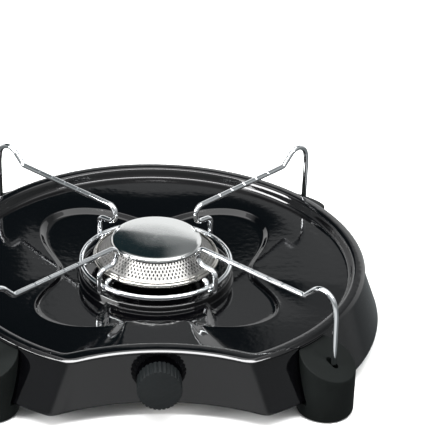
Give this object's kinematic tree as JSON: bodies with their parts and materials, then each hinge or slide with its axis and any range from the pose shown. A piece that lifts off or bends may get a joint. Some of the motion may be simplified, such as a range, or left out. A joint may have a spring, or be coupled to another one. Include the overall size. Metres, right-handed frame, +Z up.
{
  "type": "single burner table stove",
  "caption": "Low round enamelled gas stove with a concave front, a domed burner, a lift-off wire pan support with folding arms, rubber feet and a fluted knob.",
  "frame": {"origin": "middle of the bounding box, on the table plane under the feet", "axes": "-Y to the front with the knob, +X to the right, +Z up"},
  "size_m": [0.3366, 0.3195, 0.0962],
  "materials": {
    "black_enamel": "gloss vitreous enamel",
    "foot_rubber": "matte moulded rubber",
    "zinc_steel": "zinc plated",
    "chromed_wire": "polished chrome plate",
    "stainless_steel": "spun stainless steel",
    "polished_steel": "polished stainless steel",
    "cast_aluminium": "as cast",
    "aluminium_pipe": "drawn tube",
    "turned_brass": "turned",
    "seal_rubber": "matte",
    "knob_plastic": "fine matte moulding"
  },
  "bodies": {
    "base": {"tray": "black_enamel", "base_skirt": "black_enamel", "front_left_foot": "foot_rubber", "front_right_foot": "foot_rubber", "rear_left_foot": "foot_rubber", "rear_right_foot": "foot_rubber", "foot_screws": "zinc_steel", "foot_washers": "zinc_steel", "burner_cap": "stainless_steel", "burner_port_ring": "stainless_steel", "burner_rim_ring": "polished_steel", "burner_bowl": "stainless_steel", "burner_screws": "zinc_steel", "mixing_tube": "cast_aluminium", "jet": "turned_brass", "valve_body": "turned_brass", "valve_bracket": "zinc_steel", "valve_locknut": "turned_brass", "valve_gland_nut": "turned_brass", "spindle_seal": "seal_rubber", "gas_pipe": "aluminium_pipe", "pipe_nuts": "turned_brass", "inlet_bracket": "zinc_steel", "inlet_fitting": "turned_brass", "inlet_locknut": "turned_brass"},
    "knob": {"knob": "knob_plastic", "valve_spindle": "turned_brass"},
    "pan_ring": {"pan_support_ring": "chromed_wire"},
    "front_left_arm": {"front_left_arm": "chromed_wire"},
    "front_right_arm": {"front_right_arm": "chromed_wire"},
    "rear_right_arm": {"rear_right_arm": "chromed_wire"},
    "rear_left_arm": {"rear_left_arm": "chromed_wire"}
  },
  "joints": [
    {"name": "knob_turn", "type": "hinge", "parent": "base", "child": "knob", "pos_m": [0, -0.14908, 0.0312], "axis": [0, -1, 0], "range_deg": [0, 270]},
    {"name": "pan_lift", "type": "slide", "parent": "base", "child": "pan_ring", "axis": [0, 0, 1], "range_m": [0, 0.06]},
    {"name": "front_left_arm_tilt", "type": "hinge", "parent": "pan_ring", "child": "front_left_arm", "pos_m": [-0.03932, -0.0534, 0.0534], "axis": [-0.7071, 0.7071, 0], "range_deg": [0, 11]},
    {"name": "front_right_arm_tilt", "type": "hinge", "parent": "pan_ring", "child": "front_right_arm", "pos_m": [0.03932, -0.0534, 0.0534], "axis": [-0.7071, -0.7071, 0], "range_deg": [0, 11]},
    {"name": "rear_right_arm_tilt", "type": "hinge", "parent": "pan_ring", "child": "rear_right_arm", "pos_m": [0.03932, 0.02523, 0.0534], "axis": [0.7071, -0.7071, 0], "range_deg": [0, 11]},
    {"name": "rear_left_arm_tilt", "type": "hinge", "parent": "pan_ring", "child": "rear_left_arm", "pos_m": [-0.03932, 0.02523, 0.0534], "axis": [0.7071, 0.7071, 0], "range_deg": [0, 11]}
  ]
}
